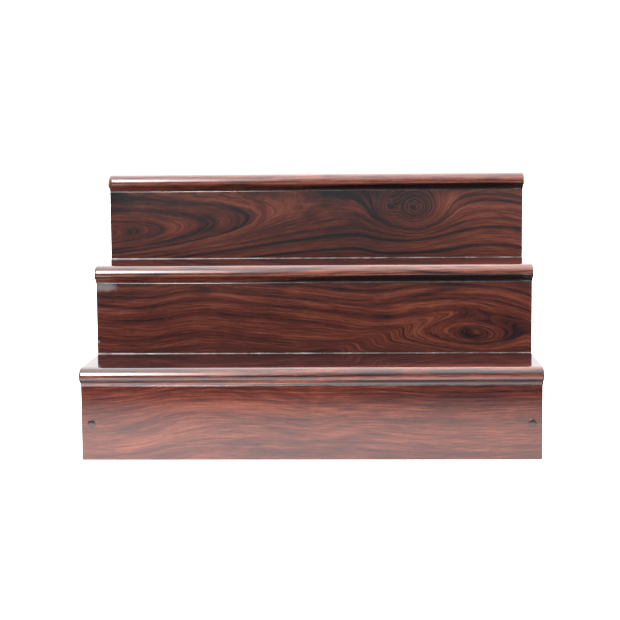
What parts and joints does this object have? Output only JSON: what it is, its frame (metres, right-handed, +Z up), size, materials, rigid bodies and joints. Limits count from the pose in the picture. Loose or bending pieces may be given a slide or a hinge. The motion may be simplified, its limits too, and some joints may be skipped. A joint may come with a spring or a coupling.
{
  "type": "photo album display stand",
  "caption": "Stepped wooden display stand like a small flight of stairs, with moulded tread nosings and an open back, for albums, frames and figures.",
  "frame": {"origin": "centre of the overall box, on the surface the stand rests on", "axes": "+X along the steps, +Y from the front (lowest step) to the back, +Z up"},
  "size_m": [0.457, 0.306, 0.2796],
  "materials": {
    "rosewood": "dark figured rosewood under glossy clear lacquer",
    "plain_hardwood": "planed, unlacquered",
    "dowel_wood": "turned, unlacquered",
    "plug_wood": "dark end grain under clear lacquer",
    "screw_steel": "plain bright steel",
    "lacquer_line": "pale set glue and lacquer in the joints"
  },
  "bodies": {
    "root": {"back_rail_bottom": "rosewood", "back_rail_top": "rosewood", "cleat_left_bottom": "plain_hardwood", "cleat_left_middle": "plain_hardwood", "cleat_left_top": "plain_hardwood", "cleat_right_bottom": "plain_hardwood", "cleat_right_middle": "plain_hardwood", "cleat_right_top": "plain_hardwood", "cleat_screws_bottom": "screw_steel", "cleat_screws_middle": "screw_steel", "cleat_screws_top": "screw_steel", "glue_blocks_bottom": "plain_hardwood", "glue_blocks_middle": "plain_hardwood", "glue_blocks_top": "plain_hardwood", "rail_dowels_bottom": "dowel_wood", "rail_dowels_top": "dowel_wood", "riser_bottom": "rosewood", "riser_dowels_bottom": "dowel_wood", "riser_dowels_middle": "dowel_wood", "riser_dowels_top": "dowel_wood", "riser_middle": "rosewood", "riser_plug_left": "plug_wood", "riser_plug_right": "plug_wood", "riser_screw_left": "screw_steel", "riser_screw_right": "screw_steel", "riser_top": "rosewood", "side_panel_left": "rosewood", "side_panel_right": "rosewood", "tread_bottom": "rosewood", "tread_middle": "rosewood", "tread_top": "rosewood"}
  },
  "joints": []
}
